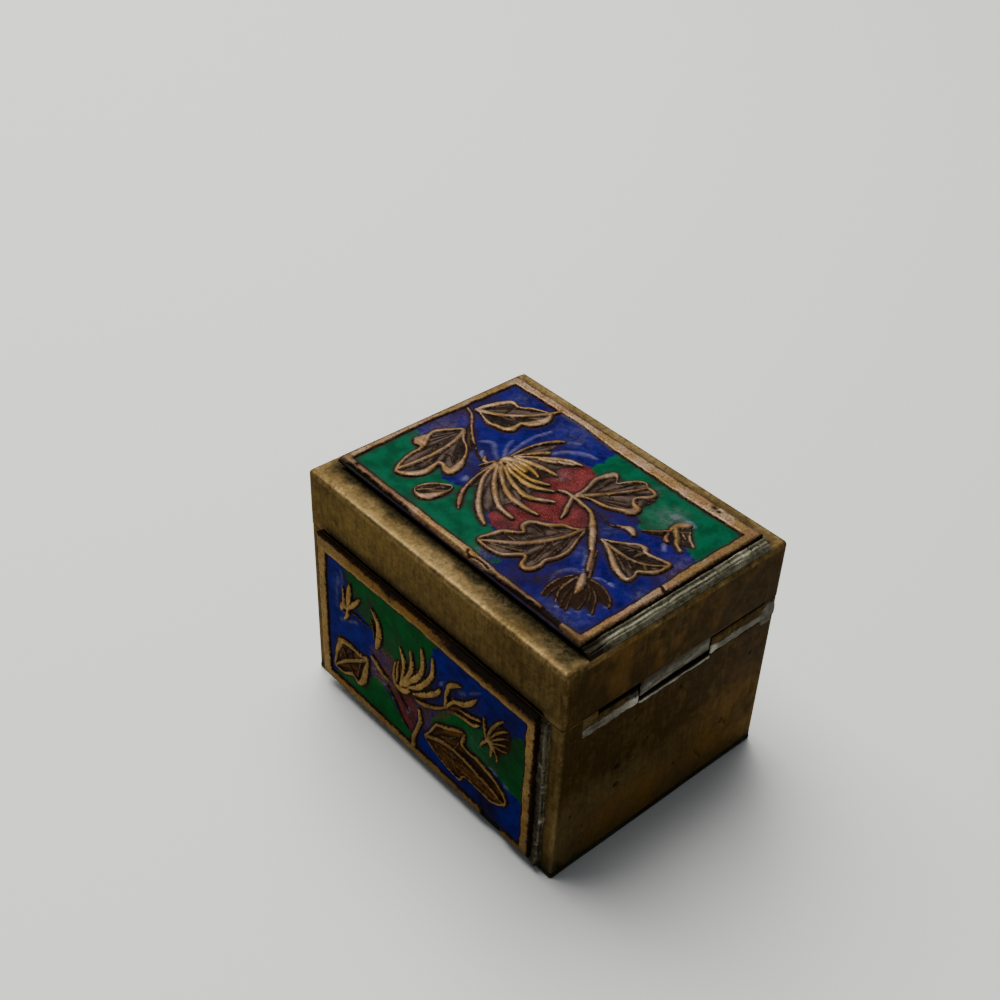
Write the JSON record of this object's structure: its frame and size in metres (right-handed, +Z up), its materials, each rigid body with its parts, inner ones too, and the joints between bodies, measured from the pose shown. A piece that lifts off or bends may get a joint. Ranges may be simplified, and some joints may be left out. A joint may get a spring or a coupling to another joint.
{
  "type": "hinged enamelled trinket box",
  "caption": "Small rectangular brass box with a hinged lid and enamelled relief flower panels on its lid, front and back.",
  "frame": {"origin": "middle of the underside of the base plate, on the surface that the box stands on", "axes": "+X along the long side towards the hinge, +Y from the enamelled front to the back, +Z up"},
  "size_m": [0.06, 0.049, 0.045],
  "materials": {
    "brass": "aged brass, olive brown, worn bright along the edges",
    "hinge_wire": "dull wire",
    "solder": "rough grey soft solder",
    "enamelled_panel": "worn copper-gold relief with blue, green and red glass enamel in the sunk ground"
  },
  "bodies": {
    "box": {"box_walls": "brass", "base_plate": "brass", "front_panel": "enamelled_panel", "front_solder_bed": "solder", "back_panel": "enamelled_panel", "back_solder_bed": "solder", "hinge_knuckle_front": "brass", "hinge_knuckle_back": "brass", "hinge_pin": "hinge_wire"},
    "lid": {"lid_cap": "brass", "top_panel": "enamelled_panel", "top_solder_bed": "solder", "hinge_knuckle_middle": "brass"}
  },
  "joints": [
    {"name": "lid_hinge", "type": "hinge", "parent": "box", "child": "lid", "pos_m": [0.02885, 0, 0.0302], "axis": [0, 1, 0], "range_deg": [0, 115]}
  ]
}
